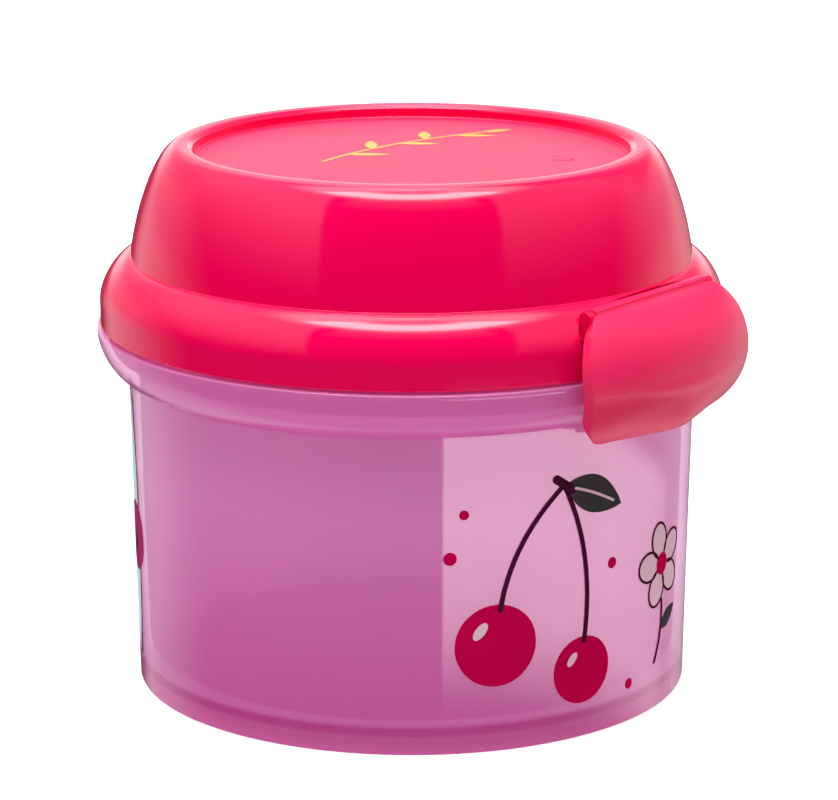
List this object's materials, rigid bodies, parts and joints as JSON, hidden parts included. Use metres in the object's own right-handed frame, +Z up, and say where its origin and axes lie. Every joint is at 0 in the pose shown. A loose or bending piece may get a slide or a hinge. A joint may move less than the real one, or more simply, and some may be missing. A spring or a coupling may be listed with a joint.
{
  "type": "toddler snack container",
  "caption": "Round snack tub with a flared rim and a domed push-on lid, held by a snap latch that swings out and up on a pin.",
  "frame": {"origin": "centre of the foot, on the surface the container stands on", "axes": "+Z up along the container's axis, -Y towards the latch"},
  "size_m": [0.106, 0.1107, 0.0916],
  "materials": {
    "tub_plastic": "see-through pink-purple polypropylene, satin inside and glossy outside",
    "lid_plastic": "opaque hot pink polypropylene, glossy, with the top panel slightly softer",
    "seal_silicone": "milky silicone",
    "latch_plastic": "opaque hot pink polypropylene, satin gloss",
    "pin_plastic": "opaque pink rod, glossy"
  },
  "bodies": {
    "tub": {"tub": "tub_plastic"},
    "lid": {"lid": "lid_plastic", "seal_ring": "seal_silicone", "hinge_pin": "pin_plastic"},
    "latch": {"latch": "latch_plastic"}
  },
  "joints": [
    {"name": "lid_lift", "type": "slide", "parent": "tub", "child": "lid", "axis": [0, 0, 1], "range_m": [0, 0.075]},
    {"name": "latch_swing", "type": "hinge", "parent": "lid", "child": "latch", "pos_m": [0, -0.048, 0.07115], "axis": [-1, 0, 0], "range_deg": [0, 90]}
  ]
}
